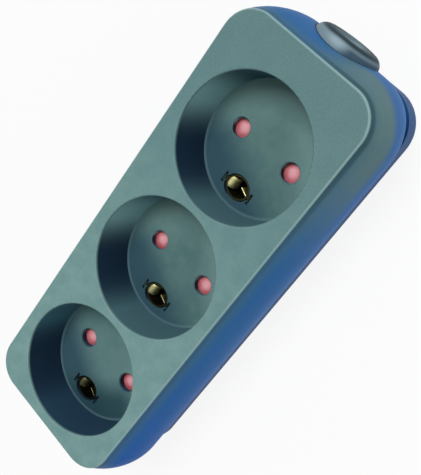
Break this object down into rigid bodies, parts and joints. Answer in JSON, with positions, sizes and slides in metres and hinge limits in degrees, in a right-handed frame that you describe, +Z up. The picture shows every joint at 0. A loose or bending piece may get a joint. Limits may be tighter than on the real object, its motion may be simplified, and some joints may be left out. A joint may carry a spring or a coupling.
{
  "type": "surge protector power strip",
  "caption": "Trailing mains socket strip with a row of deep round shuttered outlets, a screwed-on base and a round cord inlet on one end.",
  "frame": {"origin": "on the underside, straight below the middle outlet's axis", "axes": "+X along the strip towards the cord inlet, +Y across it through the pin holes, +Z up out of the outlets"},
  "size_m": [0.1465, 0.0556, 0.036],
  "materials": {
    "cover_plastic": "satin grey-teal moulding",
    "base_plastic": "satin blue moulding",
    "shutter_plastic": "pink moulding",
    "clamp_plastic": "natural moulding",
    "brass": "stamped brass",
    "steel": "zinc-plated steel",
    "varistor_epoxy": "blue epoxy coating"
  },
  "bodies": {
    "housing": {"cover": "cover_plastic", "base": "base_plastic", "line_rail": "brass", "neutral_rail": "brass", "earth_rail": "brass", "line_terminal": "brass", "neutral_terminal": "brass", "earth_terminal": "brass", "terminal_screws": "steel", "clamp_bar": "clamp_plastic", "clamp_screws": "steel", "case_screws": "steel", "varistor": "varistor_epoxy", "shutter_spring_1": "steel", "shutter_washer_1": "steel", "shutter_spring_2": "steel", "shutter_washer_2": "steel", "shutter_spring_3": "steel", "shutter_washer_3": "steel"},
    "shutter_body_1": {"shutter_1": "shutter_plastic"},
    "shutter_body_2": {"shutter_2": "shutter_plastic"},
    "shutter_body_3": {"shutter_3": "shutter_plastic"}
  },
  "joints": [
    {"name": "shutter_turn_1", "type": "hinge", "parent": "housing", "child": "shutter_body_1", "pos_m": [-0.0415, 0, 0.019], "axis": [0, 0, 1], "range_deg": [0, 36], "stiffness_Nm_per_rad": 0.002, "springref_deg": -17.19, "deforming": ["shutter_spring_1"]},
    {"name": "shutter_turn_2", "type": "hinge", "parent": "housing", "child": "shutter_body_2", "pos_m": [0, 0, 0.019], "axis": [0, 0, 1], "range_deg": [0, 36], "stiffness_Nm_per_rad": 0.002, "springref_deg": -17.19, "deforming": ["shutter_spring_2"]},
    {"name": "shutter_turn_3", "type": "hinge", "parent": "housing", "child": "shutter_body_3", "pos_m": [0.0415, 0, 0.019], "axis": [0, 0, 1], "range_deg": [0, 36], "stiffness_Nm_per_rad": 0.002, "springref_deg": -17.19, "deforming": ["shutter_spring_3"]}
  ]
}
